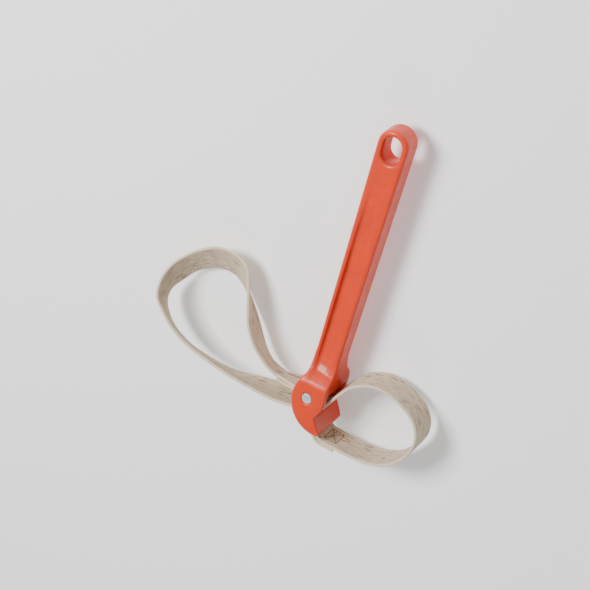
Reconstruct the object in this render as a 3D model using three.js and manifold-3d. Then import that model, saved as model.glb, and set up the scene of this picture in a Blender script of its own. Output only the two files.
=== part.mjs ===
// A strap wrench lying on its side: a painted cast handle with a two-cheek head, and a woven strap that
// makes a small grip loop in front of the head and a long pull loop behind it. Millimetres, +Z up.
// The handle runs along +Y, the grip loop points to +X, and the lower cheek rests on Z = 0.
import * as THREE from "three";
import { mergeVertices } from "three/addons/utils/BufferGeometryUtils.js";
import Module from "manifold-3d";

// Head: two cheeks joined by the neck above and by the toe in front.
const HEAD_WIDTH = 40;
const CHEEK_THICKNESS = 5;
const HEAD_EDGE_ROUND = 1.2;
const TOE_END_HALF_WIDTH = 16.5;

// Shank and hang eye.
const SHANK_THICKNESS = 19;
const SHANK_EDGE_ROUND = 2.4;
const SHANK_FOOT = 34;
const SHANK_BACK_AT_FOOT = -7.6;
const SHANK_FRONT_AT_FOOT = 13.2;
const EYE_CENTRE = new THREE.Vector2(7.8, 241.3);
const EYE_RADIUS = 12.7;
const EYE_HOLE_RADIUS = 7.2;
const EYE_HOLE_STRAIGHT = 7.5;
const EYE_HOLE_DROP = 3.6;

// The long scoop in each side face of the shank, deeper along its back.
const SCOOP_DEPTH = 3;
const SCOOP_HALF_WIDTH = 6.7;
const SCOOP_CENTRE_X = 3.3;
const SCOOP_FILLET = 2.8;
const SCOOP_TILT = 7;
const SCOOP_TOP = 205;

// Pins across the head.
const PIN_CENTRE = new THREE.Vector2(0, 14);
const PIN_RADIUS = 4.2;
const PIN_HOLE_CLEARANCE = 0.3;
const PIN_END_ROUND = 0.8;
const ANCHOR_CENTRE = new THREE.Vector2(2, -8);
const ANCHOR_RADIUS = 2.5;
const ANCHOR_CLEARANCE = 0.3;
const ANCHOR_BLIND_DEPTH = 3;

// Webbing.
const STRAP_WIDTH = 27;
const STRAP_THICKNESS = 2.4;
const LAYER_GAP = 0.3;
const EYE_CLEARANCE = 0.4;
const DOUBLE_THICKNESS = 2 * STRAP_THICKNESS + LAYER_GAP;
const PIN_TAIL_LENGTH = 26.5;
const PIN_TAIL_START_DROP = 1.8;
const PIN_TAIL_DROP = 4;
const PIN_TAIL_SINK = 1;
const PIN_TAIL_LEAN = 22;

// Seams.
const THREAD_WIDTH = 0.7;
const THREAD_HEIGHT = 0.5;
const CROSS_ROW_HEIGHT = 0.4;
const THREAD_GAP = 0.3;
const GRIP_SEAM_BREADTH = 15;
const PIN_SEAM_BREADTH = 7;
const PIN_SEAM_START = 16;
const PIN_SEAM_END = 1;

const CURVE_SEGMENTS = 10;
const PULL_LOOP_STEPS = 88;
const MIDDLE = HEAD_WIDTH / 2;
const STRAP_LOW = MIDDLE - STRAP_WIDTH / 2;
const UP = new THREE.Vector3(0, 0, 1);

const wasm = await Module();
wasm.setup();

function solidOf(geometry) {
  const bare = geometry.index ? geometry.toNonIndexed() : geometry.clone();
  bare.deleteAttribute("normal");
  bare.deleteAttribute("uv");
  const merged = mergeVertices(bare, 1e-3);
  const corners = merged.index.array;
  const kept = [];
  for (let i = 0; i < corners.length; i += 3) {
    const [a, b, c] = corners.slice(i, i + 3);
    if (a !== b && b !== c && c !== a) {
      kept.push(a, b, c);
    }
  }
  return new wasm.Manifold(
    new wasm.Mesh({
      numProp: 3,
      vertProperties: new Float32Array(merged.attributes.position.array),
      triVerts: new Uint32Array(kept),
    }),
  );
}

function geometryOf(solid) {
  const mesh = solid.getMesh();
  const geometry = new THREE.BufferGeometry();
  geometry.setAttribute("position", new THREE.BufferAttribute(new Float32Array(mesh.vertProperties), 3));
  geometry.setIndex(new THREE.BufferAttribute(new Uint32Array(mesh.triVerts), 1));
  geometry.computeVertexNormals();
  return geometry;
}

// The points of an outline, without any that repeat the one before or close it again.
function distinct(points) {
  return points.filter((point, i) => point.distanceTo(points[(i + 1) % points.length]) > 0.02);
}

// A flat outline raised from one height to another, its rims rounded inwards.
function slab(shape, low, high, round = 0, segments = 3) {
  const outline = shape.extractPoints(CURVE_SEGMENTS);
  const clean = new THREE.Shape(distinct(outline.shape));
  clean.holes = outline.holes.map((hole) => new THREE.Path(distinct(hole)));
  const geometry = new THREE.ExtrudeGeometry(clean, {
    depth: high - low - 2 * round,
    bevelEnabled: round > 0,
    bevelThickness: round,
    bevelSize: round,
    bevelOffset: -round,
    bevelSegments: segments,
  });
  geometry.translate(0, 0, low + round);
  return geometry;
}

function rod(centre, radius, low, high, round = 0, sides = 32) {
  const profile = [new THREE.Vector2(0, low), new THREE.Vector2(radius - round, low)];
  if (round > 0) {
    profile.push(new THREE.Vector2(radius, low + round), new THREE.Vector2(radius, high - round));
  }
  profile.push(new THREE.Vector2(radius - round, high), new THREE.Vector2(0, high));
  const geometry = new THREE.LatheGeometry(profile, sides);
  geometry.rotateX(Math.PI / 2);
  geometry.translate(centre.x, centre.y, 0);
  return upright(geometry);
}

// Turns every face outwards if the solid came out inside out.
function upright(geometry) {
  const p = geometry.attributes.position;
  const index = geometry.index.array;
  const a = new THREE.Vector3();
  const b = new THREE.Vector3();
  const c = new THREE.Vector3();
  let volume = 0;
  for (let i = 0; i < index.length; i += 3) {
    a.fromBufferAttribute(p, index[i]);
    b.fromBufferAttribute(p, index[i + 1]);
    c.fromBufferAttribute(p, index[i + 2]);
    volume += a.dot(b.cross(c));
  }
  if (volume < 0) {
    index.reverse();
  }
  return geometry;
}

function polygon(points) {
  return new THREE.Shape(points.map(([x, y]) => new THREE.Vector2(x, y)));
}

// --- Handle -------------------------------------------------------------------------------------------

function headShape() {
  const shape = new THREE.Shape();
  shape.moveTo(17.4, -12.4);
  shape.lineTo(10, 0.4);
  shape.quadraticCurveTo(12.6, 4, 14.2, 9);
  shape.quadraticCurveTo(15.4, 13, 15.2, 17.5);
  shape.quadraticCurveTo(15, 30, SHANK_FRONT_AT_FOOT, 52);
  shape.lineTo(SHANK_BACK_AT_FOOT, 52);
  shape.lineTo(SHANK_BACK_AT_FOOT, 33);
  shape.splineThru([
    new THREE.Vector2(-10.6, 26.5),
    new THREE.Vector2(-12.8, 19),
    new THREE.Vector2(-13.2, 13),
    new THREE.Vector2(-12, 5),
    new THREE.Vector2(-8, -4),
    new THREE.Vector2(-0.5, -11.8),
    new THREE.Vector2(8, -16.2),
  ]);
  shape.quadraticCurveTo(15, -19.4, 17.4, -12.4);
  return shape;
}

// The head's breadth across the cheeks, seen from the front. It flares out of the neck and narrows at
// the toe.
function headBreadth() {
  const half = HEAD_WIDTH / 2;
  const neck = SHANK_THICKNESS / 2;
  const side = [
    [-19, TOE_END_HALF_WIDTH - 1.5],
    [-17, TOE_END_HALF_WIDTH],
    [-14.5, TOE_END_HALF_WIDTH + 2],
    [-9, half - 0.5],
    [-5, half],
    [27, half],
    [30, half - 1.4],
    [33, half - 4],
    [37, neck + 2.4],
    [42, neck + 0.6],
    [48, neck - 0.4],
    [53, neck - 0.6],
  ];
  const shape = polygon([
    ...side.map(([y, w]) => [y, MIDDLE + w]),
    ...side.reverse().map(([y, w]) => [y, MIDDLE - w]),
  ]);
  const geometry = new THREE.ExtrudeGeometry(shape, { depth: 80, bevelEnabled: false });
  geometry.applyMatrix4(new THREE.Matrix4().set(0, 0, 1, -40, 1, 0, 0, 0, 0, 1, 0, 0, 0, 0, 0, 1));
  return upright(mergeVertices(geometry));
}

function shankShape() {
  const shape = new THREE.Shape();
  shape.moveTo(SHANK_BACK_AT_FOOT, SHANK_FOOT);
  shape.lineTo(SHANK_FRONT_AT_FOOT, SHANK_FOOT);
  shape.lineTo(EYE_CENTRE.x + EYE_RADIUS, EYE_CENTRE.y);
  shape.absarc(EYE_CENTRE.x, EYE_CENTRE.y, EYE_RADIUS, 0, Math.PI, false);
  shape.lineTo(SHANK_BACK_AT_FOOT, SHANK_FOOT);
  const hole = new THREE.Path();
  const top = EYE_CENTRE.y - EYE_HOLE_DROP + EYE_HOLE_STRAIGHT / 2;
  const low = EYE_CENTRE.y - EYE_HOLE_DROP - EYE_HOLE_STRAIGHT / 2;
  hole.absarc(EYE_CENTRE.x, top, EYE_HOLE_RADIUS, 0, Math.PI, false);
  hole.absarc(EYE_CENTRE.x, low, EYE_HOLE_RADIUS, Math.PI, 2 * Math.PI, false);
  shape.holes.push(hole);
  return shape;
}

// Cuts a long scoop that runs out in the cheek at its foot and in the side face at its top.
function scoop(side) {
  const face = SHANK_THICKNESS / 2;
  const floor = face - SCOOP_DEPTH;
  const clear = MIDDLE + 14;
  const profile = polygon([
    [20, clear],
    [26, MIDDLE + 2],
    [30, MIDDLE - 1.1],
    [33, MIDDLE - 4.1],
    [37, face + 1.7],
    [42, face - 0.9],
    [49, floor + 0.6],
    [60, floor],
    [130, floor],
    [165, floor + 1],
    [SCOOP_TOP, face + 0.4],
    [SCOOP_TOP, clear],
  ]);
  const geometry = slab(profile, -SCOOP_HALF_WIDTH, SCOOP_HALF_WIDTH, SCOOP_FILLET, 4);
  geometry.applyMatrix4(new THREE.Matrix4().set(0, 0, 1, 0, 1, 0, 0, 0, 0, 1, 0, 0, 0, 0, 0, 1));
  geometry.rotateY(THREE.MathUtils.degToRad(-SCOOP_TILT));
  geometry.translate(SCOOP_CENTRE_X, -SHANK_FOOT, 0);
  geometry.rotateZ(-Math.atan2(EYE_CENTRE.x - SCOOP_CENTRE_X, EYE_CENTRE.y - SHANK_FOOT));
  geometry.translate(0, SHANK_FOOT, 0);
  geometry.scale(1, 1, side);
  geometry.translate(0, 0, MIDDLE);
  return upright(mergeVertices(geometry));
}

// The hollow between the cheeks: open behind and below, and in front above the toe.
function strapWay() {
  const way = polygon([
    [-24, 31],
    [-7, 31],
    [3, 27.5],
    [11.5, 21.5],
    [24, 19.5],
    [24, 0.9],
    [10.4, 0.4],
    [8.6, -0.4],
    [6, -2.2],
    [13.2, -15],
    [13.2, -24],
    [-24, -24],
  ]);
  return slab(way, MIDDLE - HEAD_WIDTH / 2 + CHEEK_THICKNESS, MIDDLE + HEAD_WIDTH / 2 - CHEEK_THICKNESS);
}

function handle() {
  const head = solidOf(slab(headShape(), 0, HEAD_WIDTH, HEAD_EDGE_ROUND, 2)).intersect(solidOf(headBreadth()));
  const low = MIDDLE - SHANK_THICKNESS / 2;
  const shank = solidOf(slab(shankShape(), low, low + SHANK_THICKNESS, SHANK_EDGE_ROUND, 3));
  const pinHole = rod(PIN_CENTRE, PIN_RADIUS + PIN_HOLE_CLEARANCE, -1, HEAD_WIDTH + 1);
  const blind = HEAD_WIDTH - CHEEK_THICKNESS + ANCHOR_BLIND_DEPTH;
  const anchorHole = rod(ANCHOR_CENTRE, ANCHOR_RADIUS + ANCHOR_CLEARANCE, -1, blind, 0, 24);
  let body = head.add(shank);
  for (const cut of [scoop(1), scoop(-1), strapWay(), pinHole, anchorHole]) {
    body = body.subtract(solidOf(cut));
  }
  return geometryOf(body);
}

// --- Webbing ------------------------------------------------------------------------------------------

function smooth(points) {
  return new THREE.CatmullRomCurve3(points, false, "catmullrom", 0.5);
}

// A strip of webbing along stations [x, y, z, lean]. Lean turns its width about the way it runs, in degrees,
// from standing upright. Offset moves it through the thickness, and shift across the width.
function strip(stations, steps, options = {}) {
  const { offset = 0, shift = 0, thickness = STRAP_THICKNESS, width = STRAP_WIDTH } = options;
  const line = smooth(stations.map(([x, y, z]) => new THREE.Vector3(x, y, z)));
  const leans = smooth(stations.map(([, , , lean]) => new THREE.Vector3(lean, 0, 0)));
  const corners = [[0.5, 0.5], [-0.5, 0.5], [-0.5, -0.5], [0.5, -0.5]];
  const positions = [];
  const index = [];
  for (let i = 0; i <= steps; i += 1) {
    const t = i / steps;
    const along = line.getTangent(t);
    const side = new THREE.Vector3().crossVectors(UP, along).normalize();
    const over = new THREE.Vector3().crossVectors(along, side);
    const lean = THREE.MathUtils.degToRad(leans.getPoint(t).x);
    const across = over.multiplyScalar(Math.cos(lean)).addScaledVector(side, Math.sin(lean));
    const out = new THREE.Vector3().crossVectors(across, along);
    for (const [w, h] of corners) {
      const corner = line.getPoint(t).addScaledVector(across, shift + w * width);
      corner.addScaledVector(out, offset + h * thickness);
      positions.push(corner.x, corner.y, corner.z);
    }
    for (let k = 0; k < 4 && i < steps; k += 1) {
      const a = 4 * i + k;
      const b = 4 * i + ((k + 1) % 4);
      index.push(a, b, a + 4, b, b + 4, a + 4);
    }
  }
  const last = 4 * steps;
  index.push(0, 2, 1, 0, 3, 2, last, last + 1, last + 2, last, last + 2, last + 3);
  const geometry = new THREE.BufferGeometry();
  geometry.setAttribute("position", new THREE.BufferAttribute(new Float32Array(positions), 3));
  geometry.setIndex(new THREE.BufferAttribute(new Uint32Array(index), 1));
  return upright(geometry);
}

// Stations in the head's middle plane, upright.
function level(points) {
  return points.map(([x, y]) => [x, y, MIDDLE, 0]);
}

// The end of the strap round a pin, with both its layers running on together along the given points.
function sewnEye(centre, pinRadius, tail, steps) {
  const inner = pinRadius + EYE_CLEARANCE;
  const outer = inner + STRAP_THICKNESS;
  const ring = solidOf(rod(centre, outer, STRAP_LOW, STRAP_LOW + STRAP_WIDTH, 0, 36));
  const both = solidOf(strip(tail, steps, { thickness: DOUBLE_THICKNESS }));
  const hole = solidOf(rod(centre, inner, 0, HEAD_WIDTH, 0, 36));
  return geometryOf(ring.add(both).subtract(hole));
}

// A box seam between two stations of a strip: two rows of thread along the strap and a row across it at
// each end, on the face at the given offset.
function boxSeam(from, to, offset, breadth) {
  const line = { offset, thickness: THREAD_HEIGHT, width: THREAD_WIDTH };
  const rowShare = THREAD_WIDTH / Math.hypot(to[0] - from[0], to[1] - from[1]);
  let solid = solidOf(strip([from, to], 2, { ...line, shift: breadth / 2 }));
  solid = solid.add(solidOf(strip([from, to], 2, { ...line, shift: -breadth / 2 })));
  for (const [start, end] of [[0, rowShare], [1 - rowShare, 1]]) {
    const row = [between(from, to, start), between(from, to, end)];
    solid = solid.add(solidOf(strip(row, 1, { ...line, width: breadth, thickness: CROSS_ROW_HEIGHT })));
  }
  return geometryOf(solid);
}

// The station a share of the way from one station to another.
function between(from, to, share) {
  return from.map((value, i) => value + (to[i] - value) * share);
}

// The two layers behind the pin, straight back out of the head and turning over as they go.
const PIN_TAIL = [
  [PIN_CENTRE.x - PIN_RADIUS, PIN_CENTRE.y - PIN_TAIL_START_DROP, MIDDLE, 0],
  [
    PIN_CENTRE.x - PIN_RADIUS - PIN_TAIL_LENGTH,
    PIN_CENTRE.y - PIN_TAIL_START_DROP - PIN_TAIL_DROP,
    MIDDLE - PIN_TAIL_SINK,
    -PIN_TAIL_LEAN,
  ],
];

// The station in line with the layers behind the pin, some way past their end, or before it if negative.
function pastTail(distance) {
  const [start, end] = PIN_TAIL;
  const length = Math.hypot(end[0] - start[0], end[1] - start[1]);
  return between(start, end, 1 + distance / length);
}

// The same for a strip that runs the other way, towards the pin.
function backToTail(distance) {
  const [x, y, z, lean] = pastTail(distance);
  return [x, y, z, -lean];
}

// The two layers from the anchor pin down behind the toe.
const ANCHOR_TAIL = level([
  [ANCHOR_CENTRE.x + 2.2, ANCHOR_CENTRE.y - 2.6],
  [ANCHOR_CENTRE.x + 5.8, ANCHOR_CENTRE.y - 7.6],
  [ANCHOR_CENTRE.x + 7.6, ANCHOR_CENTRE.y - 10.4],
  [ANCHOR_CENTRE.x + 9.6, ANCHOR_CENTRE.y - 13.2],
]);

// From the slot round the grip loop to the toe.
const GRIP_LOOP = level([
  [13.6, 10.6],
  [16, 15],
  [21, 24],
  [29, 36],
  [39, 44],
  [50, 48],
  [62, 47.6],
  [74, 43.5],
  [84, 36.6],
  [90, 27],
  [91, 15],
  [86, 1],
  [77, -10.5],
  [66, -17],
  [55, -20],
  [44, -21.2],
  [33, -21.4],
  [22, -21.4],
  [14.4, -21],
]);

// The folded end of the strap, sewn under the loop's first stretch.
const FOLDED_END = level([
  [29.5, -21.4],
  [22, -21.4],
  [14.4, -21],
]);

const THROUGH_RUN = level([
  [12.6, 8.6],
  [9.6, 3.4],
  [5, 1],
  [-1, 0],
  [-8.5, -1.6],
]);

// From the head's lower mouth round the pull loop and back to the sewn layers behind the pin. The loop
// leans outwards at its far end.
const PULL_LOOP = [
  [-13, -3.6, 20, 0],
  [-30, -6.4, 20, 2],
  [-49, -8, 21, -7],
  [-69, -8.8, 23.5, -21],
  [-85, -8, 24.5, -29],
  [-101, -5.4, 25.5, -33],
  [-117, -0.8, 26.5, -36],
  [-132, 8.6, 27, -35],
  [-142.5, 21, 26, -25],
  [-146, 33, 24, 0],
  [-143, 45, 20.5, 24],
  [-135, 59, 17, 38],
  [-122, 70.4, 13.4, 52],
  [-108, 76.5, 11, 64],
  [-94.5, 75, 10.4, 65],
  [-85.5, 66.4, 11.8, 47],
  [-77.3, 54.4, 14.2, 28],
  [-68.8, 40, 17, 15],
  [-60.6, 28.6, 19, 15],
  [-53.6, 20.6, 19.5, 21],
  [-46.6, 14.6, 19.8, 24],
  [-40.4, 10.4, 19.4, 23],
  backToTail(5),
  backToTail(2 * LAYER_GAP),
];

// --- Finishes and nodes -------------------------------------------------------------------------------

const paint = { color: 0xd2522f, roughness: 0.35, metalness: 0.1 };
const zinc = { color: 0xc9ced6, roughness: 0.3, metalness: 0.9 };
const webbing = { color: 0xcfc1ac, roughness: 0.9, metalness: 0 };
const thread = { color: 0x9a6f3c, roughness: 0.8, metalness: 0 };

const wrench = new THREE.Group();

function addNode(name, geometry, finish) {
  const mesh = new THREE.Mesh(geometry, new THREE.MeshStandardMaterial(finish));
  mesh.name = name;
  wrench.add(mesh);
}

const anchorEnd = HEAD_WIDTH - CHEEK_THICKNESS + ANCHOR_BLIND_DEPTH - ANCHOR_CLEARANCE;
const threadOut = THREAD_GAP + THREAD_HEIGHT / 2;

addNode("handle", handle(), paint);
addNode("strap_pin", rod(PIN_CENTRE, PIN_RADIUS, 0.2, HEAD_WIDTH - 0.2, PIN_END_ROUND), zinc);
addNode("anchor_pin", rod(ANCHOR_CENTRE, ANCHOR_RADIUS, 0.3, anchorEnd, 0.4, 24), zinc);
addNode("pin_eye", sewnEye(PIN_CENTRE, PIN_RADIUS, PIN_TAIL, 8), webbing);
addNode("anchor_eye", sewnEye(ANCHOR_CENTRE, ANCHOR_RADIUS, ANCHOR_TAIL, 6), webbing);
addNode("through_run", strip(THROUGH_RUN, 12), webbing);
addNode("grip_loop", strip(GRIP_LOOP, 72), webbing);
addNode("folded_end", strip(FOLDED_END, 8, { offset: STRAP_THICKNESS + LAYER_GAP }), webbing);
addNode("pull_loop", strip(PULL_LOOP, PULL_LOOP_STEPS), webbing);
const pinSeamOut = -(DOUBLE_THICKNESS / 2 + threadOut);
const gripSeamOut = -(STRAP_THICKNESS / 2 + threadOut);
const [gripSeamFrom, gripSeamTo] = level([
  [29, -21.4],
  [17.5, -21.4],
]);
addNode(
  "pin_seam",
  boxSeam(pastTail(-PIN_SEAM_START), pastTail(-PIN_SEAM_END), pinSeamOut, PIN_SEAM_BREADTH),
  thread,
);
addNode("grip_seam", boxSeam(gripSeamFrom, gripSeamTo, gripSeamOut, GRIP_SEAM_BREADTH), thread);

export default wrench;
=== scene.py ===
"""Looks of the strap wrench: an enamelled cast handle, two zinc pins and a woven strap.

Route points are in millimetres in the part's own frame and become metres in the meshes. The strap is
built as two ribbons that meet unseen inside the head, because each of them crosses one joint.
"""

import logging
import math
from dataclasses import dataclass
from enum import Enum
from typing import Callable, Sequence

import bmesh
import bpy
import numpy as np
from mathutils import Matrix, Vector


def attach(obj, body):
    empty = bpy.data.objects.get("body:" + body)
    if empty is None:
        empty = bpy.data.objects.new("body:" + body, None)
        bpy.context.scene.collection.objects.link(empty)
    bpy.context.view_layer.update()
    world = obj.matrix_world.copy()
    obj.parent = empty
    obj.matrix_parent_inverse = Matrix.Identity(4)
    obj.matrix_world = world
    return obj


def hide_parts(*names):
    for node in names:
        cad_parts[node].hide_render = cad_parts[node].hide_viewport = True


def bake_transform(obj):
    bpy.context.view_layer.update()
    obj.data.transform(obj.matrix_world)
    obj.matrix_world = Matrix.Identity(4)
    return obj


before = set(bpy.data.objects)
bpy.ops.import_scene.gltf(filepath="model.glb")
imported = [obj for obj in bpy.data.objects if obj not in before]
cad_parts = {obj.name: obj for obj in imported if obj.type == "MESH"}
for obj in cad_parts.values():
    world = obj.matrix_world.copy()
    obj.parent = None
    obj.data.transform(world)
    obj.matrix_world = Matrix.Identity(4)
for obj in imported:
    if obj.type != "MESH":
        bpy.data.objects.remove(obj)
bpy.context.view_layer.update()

MM = 0.001
WELD_DISTANCE = 1e-6

# Sizes of the strap, in millimetres: the height of its middle in the head, its width and thickness, and
# how far its stitches lie from its middle.
HEAD_MIDDLE = 20.0
STRAP_WIDTH = 27.0
STRAP_THICKNESS = 2.4
STITCH_LIFT = 1.3

log = logging.getLogger("strap_wrench")


class Body(str, Enum):
    """The moving bodies of the part."""

    HANDLE = "handle"
    PIN = "pin"
    PULL = "pull_strap"
    GRIP = "grip_strap"


class Slot(str, Enum):
    """The material slots the record names."""

    PAINT = "paint"
    ZINC = "zinc"
    WEBBING = "webbing"
    THREAD = "thread"


# --- Node helpers -------------------------------------------------------------------------------------

# The Mix node's sockets for colours share their names with those for numbers, so they go by place.
MIX_FACTOR, MIX_FIRST, MIX_SECOND, MIX_RESULT = 0, 6, 7, 2

FLOAT, VECTOR = "NodeSocketFloat", "NodeSocketVector"


class Graph:
    """Adds and links the nodes of one tree."""

    def __init__(self, tree: bpy.types.NodeTree) -> None:
        """Takes the tree over.

        Args:
            tree: the node tree that nodes are added to.
        """
        self.tree = tree

    def node(self, kind: str, inputs: dict | None = None, **settings) -> bpy.types.Node:
        """Adds a node.

        Args:
            kind: the node's type name.
            inputs: values or sockets by input name or number.
            settings: the node's own properties.

        Returns:
            The new node.
        """
        made = self.tree.nodes.new(kind)
        for name, value in settings.items():
            setattr(made, name, value)
        for key, value in (inputs or {}).items():
            self.feed(made.inputs[key], value)
        return made

    def feed(self, socket: bpy.types.NodeSocket, value) -> None:
        """Links a socket to an input, or sets the input's value.

        Args:
            socket: the input.
            value: another socket, or a plain value.
        """
        if isinstance(value, bpy.types.NodeSocket):
            self.tree.links.new(value, socket)
        else:
            socket.default_value = value

    def math(self, operation: str, *values) -> bpy.types.NodeSocket:
        """Adds a Math node.

        Args:
            operation: the node's operation.
            values: as many values or sockets as the operation takes.

        Returns:
            The result's socket.
        """
        return self.node("ShaderNodeMath", dict(enumerate(values)), operation=operation).outputs[0]

    def mix(self, factor, a, b) -> bpy.types.NodeSocket:
        """Mixes two colours.

        Args:
            factor: how much of the second.
            a: the first colour or socket.
            b: the second colour or socket.

        Returns:
            The mixed colour's socket.
        """
        inputs = {MIX_FACTOR: factor, MIX_FIRST: a, MIX_SECOND: b}
        return self.node("ShaderNodeMix", inputs, data_type="RGBA").outputs[MIX_RESULT]

    def step(self, value, low: float, high: float) -> bpy.types.NodeSocket:
        """Rises smoothly from 0 at low to 1 at high.

        Args:
            value: the value or socket looked at.
            low: where the rise starts.
            high: where it ends.

        Returns:
            The result's socket.
        """
        made = self.node("ShaderNodeMapRange", {0: value, 1: low, 2: high}, interpolation_type="SMOOTHSTEP")
        return made.outputs[0]

    def noise(self, vector, scale, detail: float = 3.0, roughness: float = 0.55) -> bpy.types.NodeSocket:
        """Adds a noise texture.

        Args:
            vector: the coordinates' socket.
            scale: the texture's scale, as a value or a socket.
            detail: how many finer layers it has.
            roughness: how strong those are.

        Returns:
            The noise value's socket.
        """
        inputs = {"Vector": vector, "Scale": scale, "Detail": detail, "Roughness": roughness}
        return self.node("ShaderNodeTexNoise", inputs).outputs[0]


def group(name: str, ins: dict[str, tuple], outs: dict[str, str], fill: Callable) -> bpy.types.NodeTree:
    """Makes a node group.

    Args:
        name: the group's name.
        ins: input name to its socket type and default value.
        outs: output name to its socket type.
        fill: called with the graph and the input node; returns the sockets of the outputs by name.

    Returns:
        The group's tree.
    """
    tree = bpy.data.node_groups.new(name, "ShaderNodeTree")
    for key, (kind, default) in ins.items():
        socket = tree.interface.new_socket(key, in_out="INPUT", socket_type=kind)
        if default is not None:
            socket.default_value = default
    for key, kind in outs.items():
        tree.interface.new_socket(key, in_out="OUTPUT", socket_type=kind)
    graph = Graph(tree)
    source = graph.node("NodeGroupInput")
    sink = graph.node("NodeGroupOutput")
    for key, socket in fill(graph, source.outputs).items():
        graph.feed(sink.inputs[key], socket)
    return tree


def soiling_group() -> bpy.types.NodeTree:
    """Soft blotches and finer specks, for anything that has been handled.

    Returns:
        The group, with outputs Blotches and Specks between 0 and 1.
    """

    def fill(g: Graph, source) -> dict:
        """Fills the group.

        Args:
            g: the group's graph.
            source: the group's inputs.

        Returns:
            The group's outputs by name.
        """
        wide = g.noise(source["Vector"], scale=38.0, detail=4.0, roughness=0.6)
        fine = g.noise(source["Vector"], scale=900.0, detail=2.0, roughness=0.5)
        spread = g.math("MULTIPLY", fine, g.noise(source["Vector"], scale=120.0, detail=2.0))
        return {"Blotches": g.step(wide, low=0.38, high=0.68), "Specks": g.step(spread, low=0.36, high=0.46)}

    ins = {"Vector": (VECTOR, None)}
    return group("soiling", ins, {"Blotches": FLOAT, "Specks": FLOAT}, fill)


def relief_group() -> bpy.types.NodeTree:
    """A height made of two grains of noise, for cast, plated or spun surfaces.

    Returns:
        The group, with output Height.
    """

    def fill(g: Graph, source) -> dict:
        """Fills the group.

        Args:
            g: the group's graph.
            source: the group's inputs.

        Returns:
            The group's outputs by name.
        """
        coarse = g.noise(source["Vector"], source["Coarse"], detail=2.0, roughness=0.5)
        fine = g.noise(source["Vector"], source["Fine"], detail=3.0, roughness=0.5)
        share = g.math("MULTIPLY", fine, source["Fine Share"])
        return {"Height": g.math("ADD", coarse, share)}

    ins = {
        "Vector": (VECTOR, None),
        "Coarse": (FLOAT, 90.0),
        "Fine": (FLOAT, 700.0),
        "Fine Share": (FLOAT, 0.3),
    }
    return group("relief", ins, {"Height": FLOAT}, fill)


# --- Finishes -----------------------------------------------------------------------------------------


class Kit:
    """The node groups that the finishes share."""

    def __init__(self) -> None:
        """Builds the groups once."""
        self.soiling = soiling_group()
        self.relief = relief_group()

    def soil(self, graph: Graph, place) -> bpy.types.Node:
        """Adds the soiling group to a material.

        Args:
            graph: the material's graph.
            place: the coordinates' socket.

        Returns:
            The group's node.
        """
        return graph.node("ShaderNodeGroup", {"Vector": place}, node_tree=self.soiling)

    def height(self, graph: Graph, place, coarse: float, fine: float, share: float) -> bpy.types.NodeSocket:
        """Adds the relief group to a material.

        Args:
            graph: the material's graph.
            place: the coordinates' socket.
            coarse: the scale of the coarse grain.
            fine: the scale of the fine grain.
            share: how much of the fine grain is added to the coarse one.

        Returns:
            The height's socket.
        """
        inputs = {"Vector": place, "Coarse": coarse, "Fine": fine, "Fine Share": share}
        return graph.node("ShaderNodeGroup", inputs, node_tree=self.relief).outputs["Height"]


def begin(name: str) -> tuple[bpy.types.Material, Graph, bpy.types.Node]:
    """Starts a material.

    Args:
        name: the material's name.

    Returns:
        The material, its graph and its surface shader.
    """
    material = bpy.data.materials.new(name)
    material.use_nodes = True
    graph = Graph(material.node_tree)
    shader = next(n for n in material.node_tree.nodes if n.type == "BSDF_PRINCIPLED")
    return material, graph, shader


def bump(graph: Graph, shader: bpy.types.Node, height, distance: float, strength: float = 1.0) -> None:
    """Gives a shader a relief.

    Args:
        graph: the material's graph.
        shader: its surface shader.
        height: the height's socket.
        distance: how deep a height of 1 is, in metres.
        strength: how much of it shows.
    """
    made = graph.node("ShaderNodeBump", {"Strength": strength, "Distance": distance, "Height": height})
    graph.feed(shader.inputs["Normal"], made.outputs[0])


@dataclass(frozen=True)
class Enamel:
    """Thick glossy enamel over a sand casting."""

    bright: tuple = (0.72, 0.046, 0.009, 1.0)
    deep: tuple = (0.5, 0.018, 0.007, 1.0)
    worn: tuple = (0.8, 0.12, 0.05, 1.0)
    deep_share: float = 0.28
    worn_share: float = 0.18
    roughness: float = 0.4
    roughness_spread: float = 0.10
    coat: float = 0.22
    coat_roughness: float = 0.2
    ior: float = 1.38

    def build(self, kit: Kit) -> bpy.types.Material:
        """Makes the material.

        Args:
            kit: the shared node groups.

        Returns:
            The material.
        """
        material, g, shader = begin("enamel")
        place = g.node("ShaderNodeTexCoord").outputs["Object"]
        soil = kit.soil(g, place).outputs
        tint = g.mix(g.math("MULTIPLY", soil["Blotches"], self.deep_share), self.bright, self.deep)
        colour = g.mix(g.math("MULTIPLY", soil["Specks"], self.worn_share), tint, self.worn)
        g.feed(shader.inputs["Base Color"], colour)
        rough = g.math("MULTIPLY_ADD", soil["Blotches"], self.roughness_spread, self.roughness)
        g.feed(shader.inputs["Roughness"], rough)
        shader.inputs["Coat Weight"].default_value = self.coat
        shader.inputs["Coat Roughness"].default_value = self.coat_roughness
        shader.inputs["IOR"].default_value = self.ior
        height = kit.height(g, place, coarse=85.0, fine=520.0, share=0.22)
        bump(g, shader, height, distance=0.0011, strength=0.8)
        return material


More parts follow.
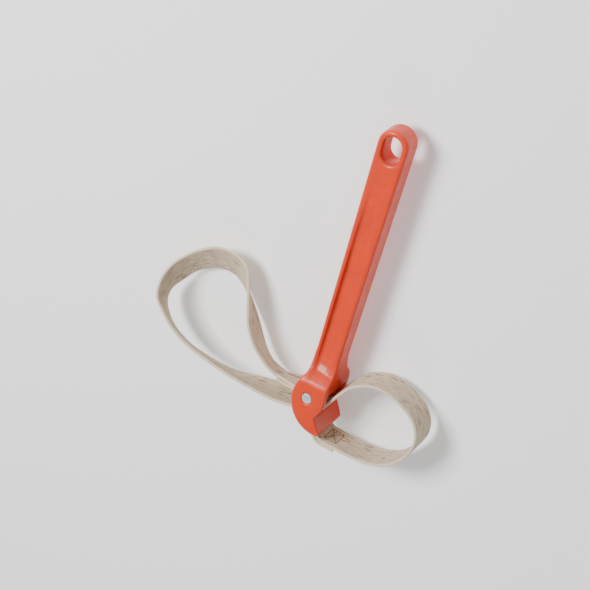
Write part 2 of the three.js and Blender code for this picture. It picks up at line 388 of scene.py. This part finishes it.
@dataclass(frozen=True)
class Zinc:
    """Bright zinc plate over a turned and peened pin."""

    light: tuple = (0.86, 0.92, 1.0, 1.0)
    dull: tuple = (0.66, 0.72, 0.82, 1.0)
    roughness: float = 0.28
    roughness_spread: float = 0.15
    metallic: float = 0.6

    def build(self, kit: Kit) -> bpy.types.Material:
        """Makes the material.

        Args:
            kit: the shared node groups.

        Returns:
            The material.
        """
        material, g, shader = begin("zinc")
        place = g.node("ShaderNodeTexCoord").outputs["Object"]
        soil = kit.soil(g, place).outputs
        g.feed(shader.inputs["Base Color"], g.mix(soil["Blotches"], self.light, self.dull))
        rough = g.math("MULTIPLY_ADD", soil["Specks"], self.roughness_spread, self.roughness)
        g.feed(shader.inputs["Roughness"], rough)
        shader.inputs["Metallic"].default_value = self.metallic
        height = kit.height(g, place, coarse=420.0, fine=1800.0, share=0.5)
        bump(g, shader, height, distance=0.0004, strength=0.6)
        return material


@dataclass(frozen=True)
class Webbing:
    """Undyed cotton webbing with brown weft showing through as short dashes along it, and painted shade in
    the low places of its weave.

    Column and rib are the pitches of the weave across and along the strap, wander is how far a column
    strays, and rim holds where the selvedge starts and where it is full, measured from the middle line.
    All of these are in metres, as the Cloth UV is.
    """

    warp: tuple = (0.76, 0.61, 0.42, 1.0)
    # hollow is painted shade for the low places of the weave, and also the colour of the real stains
    hollow: tuple = (0.34, 0.235, 0.14, 1.0)
    weft: tuple = (0.15, 0.066, 0.02, 1.0)
    selvedge: tuple = (0.82, 0.69, 0.51, 1.0)
    column: float = 0.0015
    rib: float = 0.0013
    wander: float = 0.0009
    rim: tuple = (0.0118, 0.0124)
    rim_share: float = 0.85
    stain_share: float = 0.22
    dash_scale: tuple = (105.0, 950.0, 1.0)
    roughness: float = 0.95
    roughness_drop: float = 0.12
    sheen: float = 0.25
    sheen_roughness: float = 0.5
    fuzz: float = 0.35

    def build(self, kit: Kit) -> bpy.types.Material:
        """Makes the material. The piece's own UV holds metres along and across the strap.

        Args:
            kit: the shared node groups.

        Returns:
            The material.
        """
        material, g, shader = begin("webbing")
        uv = g.node("ShaderNodeUVMap", uv_map="Cloth").outputs[0]
        parts = g.node("ShaderNodeSeparateXYZ", {0: uv})
        along, across = parts.outputs[0], parts.outputs[1]
        soil = kit.soil(g, g.node("ShaderNodeTexCoord").outputs["Object"]).outputs

        stray = g.math("SUBTRACT", g.noise(uv, scale=160.0, detail=2.0), 0.5)
        strayed = g.math("ADD", across, g.math("MULTIPLY", stray, self.wander))
        column = g.math("DIVIDE", strayed, self.column)
        shift = g.math("MULTIPLY", g.math("FLOOR", column), 0.5)
        ridge = g.math("ABSOLUTE", g.math("SINE", g.math("MULTIPLY", column, math.pi)))
        turn = g.math("ADD", g.math("DIVIDE", along, self.rib), shift)
        weave = g.math("ABSOLUTE", g.math("SINE", g.math("MULTIPLY", turn, math.pi)))
        crown = g.math("MULTIPLY_ADD", weave, 0.55, 0.45)
        height = g.math("MULTIPLY", g.math("POWER", ridge, 0.5), crown)

        stretched = g.node("ShaderNodeMapping", {"Vector": uv, "Scale": self.dash_scale}).outputs[0]
        dashes = g.step(g.noise(stretched, scale=1.0, detail=2.0, roughness=0.5), low=0.52, high=0.64)
        patches = g.step(g.noise(uv, scale=55.0, detail=3.0), low=0.42, high=0.62)
        flecks = g.math("MULTIPLY", dashes, g.math("MULTIPLY_ADD", patches, 0.5, 0.5))

        # painted shade: where the weave is low, the colour darkens towards the hollow colour
        tone = g.mix(g.step(height, low=0.15, high=0.75), self.hollow, self.warp)
        # real stains, in the same dark colour
        tone = g.mix(g.math("MULTIPLY", soil["Blotches"], self.stain_share), tone, self.hollow)
        tone = g.mix(flecks, tone, self.weft)
        rim = g.math("MULTIPLY", g.step(g.math("ABSOLUTE", across), *self.rim), self.rim_share)
        # at the selvedge: its own lighter colour on the crests of the weave, with painted shade back to the
        # warp colour between them
        edge = g.mix(g.step(weave, low=0.1, high=0.7), self.warp, self.selvedge)
        g.feed(shader.inputs["Base Color"], g.mix(rim, tone, edge))

        smoothing = g.math("MULTIPLY", height, self.roughness_drop)
        g.feed(shader.inputs["Roughness"], g.math("SUBTRACT", self.roughness, smoothing))
        shader.inputs["Sheen Weight"].default_value = self.sheen
        shader.inputs["Sheen Roughness"].default_value = self.sheen_roughness
        fuzz = g.math("MULTIPLY", g.noise(uv, scale=2600.0, detail=2.0), self.fuzz)
        bump(g, shader, g.math("ADD", height, fuzz), distance=0.00045, strength=0.9)
        return material


@dataclass(frozen=True)
class Thread:
    """Waxed golden-brown sewing thread, twisted from two plies, with painted shade in the grooves of the
    twist.
    """

    # light and dark are lit and shaded copies of the thread's colour, painted along the twist; dark is also
    # the colour of the real stains
    light: tuple = (0.47, 0.27, 0.10, 1.0)
    dark: tuple = (0.17, 0.085, 0.03, 1.0)
    stain_share: float = 0.3
    roughness: float = 0.7

    def build(self, kit: Kit) -> bpy.types.Material:
        """Makes the material.

        Args:
            kit: the shared node groups.

        Returns:
            The material.
        """
        material, g, shader = begin("thread")
        place = g.node("ShaderNodeTexCoord").outputs["Object"]
        bands = {"Vector": place, "Scale": 420.0, "Distortion": 1.5}
        twist = g.node("ShaderNodeTexWave", bands, bands_direction="DIAGONAL").outputs[1]
        # painted shade and highlight: the twist's grooves are darkened and its crests lightened, following
        # the bump's height
        plies = g.mix(twist, self.dark, self.light)
        stain = g.math("MULTIPLY", kit.soil(g, place).outputs["Blotches"], self.stain_share)
        g.feed(shader.inputs["Base Color"], g.mix(stain, plies, self.dark))
        shader.inputs["Roughness"].default_value = self.roughness
        bump(g, shader, twist, distance=0.0002, strength=0.8)
        return material


@dataclass(frozen=True)
class Paper:
    """The matt pale sweep under the tool."""

    tone: tuple = (0.93, 0.93, 0.93, 1.0)
    shade: tuple = (0.85, 0.85, 0.85, 1.0)
    shade_share: float = 0.02
    roughness: float = 0.9
    glow: float = 0.3

    def build(self) -> bpy.types.Material:
        """Makes the material.

        Returns:
            The material.
        """
        material, g, shader = begin("paper")
        place = g.node("ShaderNodeTexCoord").outputs["Object"]
        grain = g.math("MULTIPLY", g.noise(place, scale=300.0), self.shade_share)
        g.feed(shader.inputs["Base Color"], g.mix(grain, self.tone, self.shade))
        shader.inputs["Roughness"].default_value = self.roughness
        shader.inputs["Emission Color"].default_value = self.tone
        shader.inputs["Emission Strength"].default_value = self.glow
        return material


# --- Routes -------------------------------------------------------------------------------------------


@dataclass(frozen=True)
class Station:
    """A point the strap's middle passes, in millimetres.

    Lean turns the strap's width from upright about the way it runs, in degrees, and lift moves the
    layer through the thickness.
    """

    x: float
    y: float
    z: float = HEAD_MIDDLE
    lean: float = 0.0
    lift: float = 0.0

    def values(self) -> list[float]:
        """Gives the station as a row of numbers.

        Returns:
            The five values.
        """
        return [self.x, self.y, self.z, self.lean, self.lift]


def stations(*rows: Sequence[float]) -> list[Station]:
    """Turns rows of numbers into stations.

    Args:
        rows: up to five values for each station.

    Returns:
        The stations.
    """
    return [Station(*row) for row in rows]


class Route:
    """A smooth path through stations, with the strap's own directions along it."""

    samples_per_station = 24
    fewest_samples = 8

    def __init__(self, points: Sequence[Station], pitch: float = 1.0) -> None:
        """Works out the path.

        Args:
            points: the stations in order.
            pitch: the distance between samples, in millimetres.
        """
        rows = np.array([p.values() for p in points])
        rows = np.vstack([2 * rows[0] - rows[1], rows, 2 * rows[-1] - rows[-2]])
        fine = self._curve(rows, self.samples_per_station * len(points))
        steps = np.linalg.norm(np.diff(fine[:, :3], axis=0), axis=1)
        reach = np.concatenate([[0.0], np.cumsum(steps)])
        length = float(reach[-1])
        self.s = np.linspace(0.0, length, max(self.fewest_samples, round(length / pitch)))
        even = np.stack([np.interp(self.s, reach, fine[:, k]) for k in range(5)], axis=1)
        along = np.gradient(even[:, :3], axis=0)
        along /= np.linalg.norm(along, axis=1)[:, None]
        side = np.cross([0.0, 0.0, 1.0], along)
        side /= np.linalg.norm(side, axis=1)[:, None]
        over = np.cross(along, side)
        lean = np.radians(even[:, 3])[:, None]
        self.across = over * np.cos(lean) + side * np.sin(lean)
        self.out = np.cross(self.across, along)
        self.centre = even[:, :3] + self.out * even[:, 4:5]

    @staticmethod
    def _curve(rows: np.ndarray, count: int) -> np.ndarray:
        """Samples a Catmull-Rom curve.

        Args:
            rows: the control rows, with one extra at each end.
            count: how many samples.

        Returns:
            The samples.
        """
        short_of_end = 1e-9  # keeps the last sample inside the last span
        place = np.linspace(0, len(rows) - 3 - short_of_end, count)
        i = place.astype(int)
        t = (place - i)[:, None]
        a, b, c, d = rows[i], rows[i + 1], rows[i + 2], rows[i + 3]
        cubic = -a + 3 * b - 3 * c + d
        return 0.5 * (2 * b + (c - a) * t + (2 * a - 5 * b + 4 * c - d) * t**2 + cubic * t**3)

    def nearest(self, x: float, y: float, z: float = HEAD_MIDDLE) -> float:
        """Finds how far along the route a point is.

        Args:
            x: the point, in millimetres.
            y: the point, in millimetres.
            z: the point, in millimetres.

        Returns:
            The distance along the route, in millimetres.
        """
        return float(self.s[np.linalg.norm(self.centre - [x, y, z], axis=1).argmin()])

    def at(self, s: float, v: float, lift: float) -> np.ndarray:
        """Gives a point on or over the strap.

        Args:
            s: the distance along, in millimetres.
            v: the distance across from the middle line.
            lift: the distance through the thickness from the middle.

        Returns:
            The point, in millimetres.
        """
        centre, across, out = (self._read(rows, s) for rows in (self.centre, self.across, self.out))
        return centre + across * v + out * lift

    def _read(self, rows: np.ndarray, s: float) -> np.ndarray:
        """Reads rows of the route between its samples.

        Args:
            rows: one row of three values for each sample.
            s: the distance along, in millimetres.

        Returns:
            The three values there.
        """
        return np.array([np.interp(s, self.s, rows[:, k]) for k in range(3)])


# --- Pieces -------------------------------------------------------------------------------------------


def add_object(name: str, bm: bmesh.types.BMesh, material: bpy.types.Material) -> bpy.types.Object:
    """Turns a bmesh into an object of the scene.

    Args:
        name: the object's name.
        bm: its mesh, which is used up.
        material: its finish.

    Returns:
        The object.
    """
    mesh = bpy.data.meshes.new(name)
    bm.to_mesh(mesh)
    bm.free()
    mesh.materials.append(material)
    made = bpy.data.objects.new(name, mesh)
    bpy.context.scene.collection.objects.link(made)
    log.info("%s: %d faces", name, len(mesh.polygons))
    return made


@dataclass
class Ribbon:
    """A length of webbing along a route, with rounded selvedges.

    Its width swells and shrinks by the unevenness, in two waves along it.
    """

    name: str
    route: Route
    width: float = STRAP_WIDTH
    thickness: float = STRAP_THICKNESS
    face_steps: int = 26
    edge_steps: int = 4
    unevenness: float = 0.22
    waves: tuple = (0.31, 0.083)
    wave_shift: float = 1.7

    def section(self) -> list[tuple[float, float]]:
        """Gives the closed outline across the strap.

        Returns:
            Pairs of distance across and through, in millimetres, the first repeated at the end.
        """
        r = self.thickness / 2
        half = self.width / 2 - r
        outline = [(half - 2 * half * k / self.face_steps, r) for k in range(self.face_steps + 1)]
        for k in range(1, self.edge_steps):
            a = math.pi / 2 + math.pi * k / self.edge_steps
            outline.append((-half + r * math.cos(a), r * math.sin(a)))
        outline += [(-v, -w) for v, w in outline]
        outline.append(outline[0])
        return outline

    def build(self, material: bpy.types.Material) -> bpy.types.Object:
        """Makes the ribbon from a grid wrapped round the section and run along the route.

        Args:
            material: the webbing.

        Returns:
            The ribbon's object.
        """
        outline = self.section()
        rows, columns = len(self.route.s) - 1, len(outline) - 1
        bm = bmesh.new()
        bmesh.ops.create_grid(bm, x_segments=rows, y_segments=columns, size=1.0)
        cloth = bm.loops.layers.uv.new("Cloth")
        spots = {}
        for vertex in bm.verts:
            i = round((vertex.co.x + 1) / 2 * rows)
            j = round((vertex.co.y + 1) / 2 * columns)
            v, w = outline[j]
            s = self.route.s[i]
            ripple = self.unevenness * math.sin(s * self.waves[0])
            ripple *= math.sin(s * self.waves[1] + self.wave_shift)
            spots[vertex.index] = (s * MM, v * MM)
            point = self.route.centre[i] + self.route.across[i] * (v + ripple * v / self.width)
            vertex.co = Vector((point + self.route.out[i] * w) * MM)
        for face in bm.faces:
            face.smooth = True
            for loop in face.loops:
                loop[cloth].uv = spots[loop.vert.index]
        bmesh.ops.remove_doubles(bm, verts=bm.verts, dist=WELD_DISTANCE)
        bmesh.ops.holes_fill(bm, edges=[e for e in bm.edges if e.is_boundary], sides=0)
        bmesh.ops.recalc_face_normals(bm, faces=bm.faces)
        made = add_object(self.name, bm, material)
        return made


@dataclass
class Seam:
    """Separate stitches sunk into the face of a ribbon.

    Each line joins two points of the ribbon, given as distances along and across it in millimetres.
    """

    name: str
    route: Route
    lines: list[tuple]
    lift: float = STITCH_LIFT
    stitch: float = 2.3
    gap: float = 0.5
    thread: float = 0.42
    bead_steps: int = 8

    def build(self, material: bpy.types.Material) -> bpy.types.Object:
        """Makes every stitch of the seam as one object.

        Args:
            material: the thread.

        Returns:
            The seam's object.
        """
        bm = bmesh.new()
        for (s0, v0), (s1, v1) in self.lines:
            length = math.hypot(s1 - s0, v1 - v0)
            count = max(1, round(length / (self.stitch + self.gap)))
            share = self.gap / (length / count) / 2
            for k in range(count):
                ends = [(k + share) / count, (k + 1 - share) / count]
                a, b = (self.route.at(s0 + (s1 - s0) * t, v0 + (v1 - v0) * t, self.lift) for t in ends)
                self._stitch(bm, Vector(a * MM), Vector(b * MM))
        for face in bm.faces:
            face.smooth = True
        made = add_object(self.name, bm, material)
        return made

    def _stitch(self, bm: bmesh.types.BMesh, a: Vector, b: Vector) -> None:
        """Adds one stitch, a drawn-out rounded bead.

        Args:
            bm: the mesh added to.
            a: one end.
            b: the other end.
        """
        run = b - a
        size = (self.thread * MM, self.thread * MM, run.length / 2)
        turn = run.to_track_quat("Z", "Y").to_matrix().to_4x4()
        place = Matrix.Translation((a + b) / 2) @ turn @ Matrix.Diagonal((*size, 1.0))
        steps = self.bead_steps
        bmesh.ops.create_uvsphere(bm, u_segments=steps, v_segments=steps, radius=1.0, matrix=place)


@dataclass
class Casting:
    """The handle: the part's own solid with the softened edges of a sand casting."""

    voxel: float = 0.65
    softness: float = 0.5
    smoothing: int = 20

    def build(self, material: bpy.types.Material) -> bpy.types.Object:
        """Makes the casting from a merged copy of the CAD solid.

        Args:
            material: the paint.

        Returns:
            The casting's object.
        """
        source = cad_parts["handle"]
        bm = bmesh.new()
        bm.from_mesh(source.data)
        bm.transform(source.matrix_world)
        bmesh.ops.remove_doubles(bm, verts=bm.verts, dist=WELD_DISTANCE)
        for face in bm.faces:
            face.smooth = True
        made = add_object("cast_handle", bm, material)
        remesh = made.modifiers.new("skin", "REMESH")
        remesh.mode = "VOXEL"
        remesh.voxel_size = self.voxel * MM
        remesh.use_smooth_shade = True
        soften = made.modifiers.new("soften", "SMOOTH")
        soften.factor = self.softness
        soften.iterations = self.smoothing
        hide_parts("handle")
        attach(made, Body.HANDLE.value)
        return made


@dataclass
class Pin:
    """A turned pin across the head with a rounded rim and a shallow peened hollow in each end.

    The lengths are in millimetres. An end is a face whose normal is nearly upright, by facing, and after
    the rims are rounded it is a face with more corners than cap_corners.
    """

    name: str
    node: str
    body: Body
    centre: tuple[float, float]
    radius: float
    low: float
    high: float
    rim: float = 0.6
    hollow: float = 0.35
    hollow_shares: tuple = (0.7, 0.45)
    segments: int = 48
    rim_steps: int = 4
    facing: float = 0.9
    cap_corners: int = 8

    def build(self, material: bpy.types.Material) -> bpy.types.Object:
        """Makes the pin.

        Args:
            material: the plating.

        Returns:
            The pin's object.
        """
        bm = bmesh.new()
        middle = Vector((self.centre[0], self.centre[1], (self.low + self.high) / 2)) * MM
        bmesh.ops.create_cone(
            bm,
            cap_ends=True,
            segments=self.segments,
            radius1=self.radius * MM,
            radius2=self.radius * MM,
            depth=(self.high - self.low) * MM,
            matrix=Matrix.Translation(middle),
        )
        caps = [f for f in bm.faces if abs(f.normal.z) > self.facing]
        rims = list({e for f in caps for e in f.edges})
        bmesh.ops.bevel(
            bm,
            geom=rims,
            offset=self.rim * MM,
            segments=self.rim_steps,
            profile=0.5,
            affect="EDGES",
            material=-1,
        )
        caps = [f for f in bm.faces if len(f.verts) > self.cap_corners]
        for share in self.hollow_shares:
            bmesh.ops.inset_individual(bm, faces=caps, thickness=self.radius * (1 - share) * 0.5 * MM)
            for face in caps:
                for vertex in face.verts:
                    vertex.co.z -= math.copysign(self.hollow / 2 * MM, face.normal.z)
        for face in bm.faces:
            face.smooth = True
        made = add_object(self.name, bm, material)
        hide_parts(self.node)
        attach(made, self.body.value)
        return made


class GripStrap:
    """The strap from inside the head round the grip loop, under the toe and round the anchor pin."""

    bend = ((0.013, 0.0, 0.02), (0.034, 0.0, 0.02))
    seam_ends = ((29, -21.4), (17.5, -20.9))
    seam_half = 7.5

    def __init__(self) -> None:
        """Lays out the route."""
        self.route = Route(
            stations(
                (4.6, 0.9), (9.6, 3.4), (12.6, 8.6), (16, 15), (21, 24), (29, 36), (39, 44), (50, 48),
                (62, 47.6), (74, 43.5), (84, 36.6), (90, 27), (91, 15), (86, 1), (77, -10.5), (66, -17),
                (55, -20), (44, -21.2), (33, -21.4), (22, -21.3), (17.5, -20.9), (14, -19.3), (11.8, -16.6),
                (9.7, -13), (7.4, -9.6), (5.8, -6.4), (3.4, -4.2), (0.3, -4.3), (-1.9, -6.6), (-1.7, -9.6),
                (1, -12), (4.6, -13.4), (7.8, -15.6), (9.9, -18.8), (12.4, -22), (16, -23.7), (20, -23.9),
                (29.5, -23.9),
            )
        )

    def build(self, webbing: bpy.types.Material, thread: bpy.types.Material) -> list[bpy.types.Object]:
        """Makes the strap and its box seam with a cross in it.

        Args:
            webbing: the strap's finish.
            thread: the seam's finish.

        Returns:
            The pieces.
        """
        strap = Ribbon("grip_webbing", self.route).build(webbing)
        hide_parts("grip_loop", "folded_end", "anchor_eye")
        s0, s1 = (self.route.nearest(*end) for end in self.seam_ends)
        v = self.seam_half
        corners = [(s0, -v), (s1, -v), (s1, v), (s0, v)]
        lines = [(corners[k], corners[(k + 1) % 4]) for k in range(4)]
        lines += [(corners[0], corners[2]), (corners[1], corners[3])]
        seam = Seam("grip_stitches", self.route, lines, lift=-STITCH_LIFT).build(thread)
        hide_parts("grip_seam")
        for piece in (strap, seam):
            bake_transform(piece)
        return [strap, seam]


class PullStrap:
    """The strap from inside the head round the pull loop and back round the strap pin."""

    bend = ((-0.014, 0.01, 0.02), (-0.04, 0.01, 0.02))
    tack_start = (-30.5, 9.6, 18.6)
    tack_rows = (-4.8, -1.0)
    tack_turns = 6
    tack_pitch = 2.9
    tack_stitch = 3.4
    second_pass = 1.0

    def __init__(self) -> None:
        """Lays out the route."""
        self.route = Route(
            stations(
                (3.4, 0.6), (-1, 0), (-8.5, -1.6), (-13, -3.6), (-30, -6.4, 20, 2), (-49, -8, 21, -7),
                (-69, -8.8, 23.5, -21), (-85, -8, 24.5, -29), (-101, -5.4, 25.5, -33),
                (-117, -0.8, 26.5, -36), (-132, 8.6, 27, -35), (-142.5, 21, 26, -25), (-146, 33, 24, 0),
                (-143, 45, 20.5, 24), (-135, 59, 17, 38), (-122, 70.4, 13.4, 52), (-108, 76.5, 11, 64),
                (-94.5, 75, 10.4, 65), (-85.5, 66.4, 11.8, 47), (-77.3, 54.4, 14.2, 28), (-68.8, 40, 17, 15),
                (-60.6, 28.6, 19, 15), (-53.6, 20.6, 19.5, 21), (-46.6, 14.6, 19.8, 24),
                (-40, 10.8, 19.4, 24, 0.2), (-33.5, 8.3, 19, 23, 0.9), (-27, 8.8, 19.2, 19, 1.35),
                (-18, 10.1, 19.6, 11, 1.35), (-11, 11.9, 19.9, 4, 1.35), (-6.6, 15.2, 20, 0, 0.6),
                (-3.6, 18.5), (0, 19.8), (3.8, 18.3), (5.8, 14), (3.9, 9.7), (0, 8.2), (-4.6, 8.9),
                (-10.5, 9.9, 19.9, -5), (-18, 10.1, 19.6, -11, 1.35), (-25, 9.1, 19.2, -17, 1.35),
                (-31, 8.2, 19, -22, 1.35),
            )
        )

    def build(self, webbing: bpy.types.Material, thread: bpy.types.Material) -> list[bpy.types.Object]:
        """Makes the strap and the zigzag tack that holds its end.

        Args:
            webbing: the strap's finish.
            thread: the seam's finish.

        Returns:
            The pieces.
        """
        strap = Ribbon("pull_webbing", self.route).build(webbing)
        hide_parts("pull_loop", "pin_eye", "through_run")
        s0 = self.route.nearest(*self.tack_start)
        turns = [(s0 + self.tack_pitch * k, self.tack_rows[k % 2]) for k in range(self.tack_turns)]
        again = [(s + self.second_pass, v) for s, v in turns]
        lines = [*zip(turns, turns[1:]), *zip(again, again[1:])]
        seam = Seam("pin_stitches", self.route, lines, stitch=self.tack_stitch).build(thread)
        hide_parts("pin_seam")
        for piece in (strap, seam):
            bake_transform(piece)
        return [strap, seam]


# --- Studio -------------------------------------------------------------------------------------------


class Studio:
    """A pale sweep, three soft lights and the camera.

    Target, axes, distance and lens were matched to the photograph. Each light has its name, its place,
    the length of its side in metres and its power in watts.
    """

    target = Vector((-0.03991, 0.08093, 0.01818))
    right = Vector((0.84680, 0.21843, -0.48499))
    up = Vector((-0.43035, 0.81722, -0.38335))
    back = Vector((0.31261, 0.53334, 0.78602))
    distance = 1.8
    lens = 143.0
    sensor = 36.0
    clip = (0.05, 50.0)
    sweep_size = 6.0
    sweep_drop = 0.0004
    lights = (
        ("key", (-0.8, 0.7, 1.4), 0.6, 44.0),
        ("fill", (0.9, 1.1, 1.1), 1.3, 1.5),
        ("rim", (0.5, -1.2, 0.9), 0.6, 4.0),
    )
    sky_colour = (0.96, 0.98, 1.0, 1.0)
    sky_strength = 0.32

    def build(self) -> None:
        """Makes the floor, lights, sky and camera."""
        bm = bmesh.new()
        bmesh.ops.create_grid(bm, x_segments=1, y_segments=1, size=self.sweep_size)
        bmesh.ops.translate(bm, verts=bm.verts, vec=(0.0, 0.0, -self.sweep_drop))
        add_object("sweep", bm, Paper().build())
        for light in self.lights:
            self._light(*light)
        world = bpy.data.worlds.new("sky")
        world.use_nodes = True
        shade = world.node_tree.nodes["Background"]
        shade.inputs["Color"].default_value = self.sky_colour
        shade.inputs["Strength"].default_value = self.sky_strength
        bpy.context.scene.world = world
        self._camera()

    def _light(self, name: str, place: tuple, size: float, power: float) -> None:
        """Adds a square soft light aimed at the tool.

        Args:
            name: its name.
            place: where it hangs, in metres.
            size: the length of its side.
            power: its power in watts.
        """
        data = bpy.data.lights.new(name, "AREA")
        data.size = size
        data.energy = power
        made = bpy.data.objects.new(name, data)
        made.location = place
        made.rotation_mode = "QUATERNION"
        made.rotation_quaternion = (self.target - Vector(place)).to_track_quat("-Z", "Y")
        bpy.context.scene.collection.objects.link(made)

    def _camera(self) -> None:
        """Adds the camera that looks down on the tool from its eye end."""
        data = bpy.data.cameras.new("camera")
        data.sensor_width = self.sensor
        data.lens = self.lens
        data.dof.use_dof = False
        data.clip_start, data.clip_end = self.clip
        made = bpy.data.objects.new("camera", data)
        axes = Matrix((self.right, self.up, self.back)).transposed().to_4x4()
        made.matrix_world = Matrix.Translation(self.target + self.back * self.distance) @ axes
        bpy.context.scene.collection.objects.link(made)
        bpy.context.scene.camera = made


def main() -> None:
    logging.basicConfig(level=logging.INFO, format="%(name)s: %(message)s")
    kit = Kit()
    paint, zinc = Enamel().build(kit), Zinc().build(kit)
    webbing, thread = Webbing().build(kit), Thread().build(kit)
    Casting().build(paint)
    Pin(
        "turned_strap_pin", "strap_pin", Body.PIN, centre=(0.0, 14.0), radius=4.2, low=0.2, high=39.8
    ).build(zinc)
    Pin(
        "turned_anchor_pin",
        "anchor_pin",
        Body.HANDLE,
        centre=(2.0, -8.0),
        radius=2.5,
        low=0.3,
        high=37.7,
        rim=0.3,
    ).build(zinc)
    GripStrap().build(webbing, thread)
    PullStrap().build(webbing, thread)
    Studio().build()
    bpy.context.view_layer.update()


if __name__ == "__main__":
    main()
